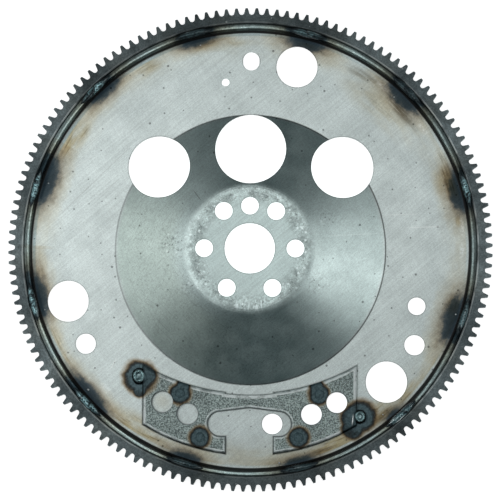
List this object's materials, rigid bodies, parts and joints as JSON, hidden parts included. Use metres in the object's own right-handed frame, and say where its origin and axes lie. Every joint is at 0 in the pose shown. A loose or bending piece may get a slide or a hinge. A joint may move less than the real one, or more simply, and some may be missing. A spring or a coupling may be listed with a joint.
{
  "type": "flexplate",
  "caption": "Pressed steel flexplate with a raised bolted hub, conical web, flat annulus and flange, a stitch-welded starter ring gear and a spot-welded balance weight",
  "frame": {"origin": "on the crankshaft's axis, in the plane of the annulus's back face, which the torque converter is bolted to", "axes": "+Z is the crankshaft's axis and points to the crankshaft side, which lies up. +Y points from the axis to the dowel hole, and +X completes a right-handed frame"},
  "size_m": [0.3174, 0.3174, 0.019],
  "materials": {
    "disc_steel": "bare satin sheet steel with scratches and heat tint beside the welds",
    "ring_steel": "dark heat-treated steel with scale",
    "weld_metal": "blue-grey weld metal, oxidised",
    "weight_steel": "grainy bare steel with dark spot weld marks"
  },
  "bodies": {
    "root": {"flexplate_disc": "disc_steel", "ring_gear": "ring_steel", "ring_welds": "weld_metal", "balance_weight": "weight_steel", "tack_welds": "weld_metal"}
  },
  "joints": []
}
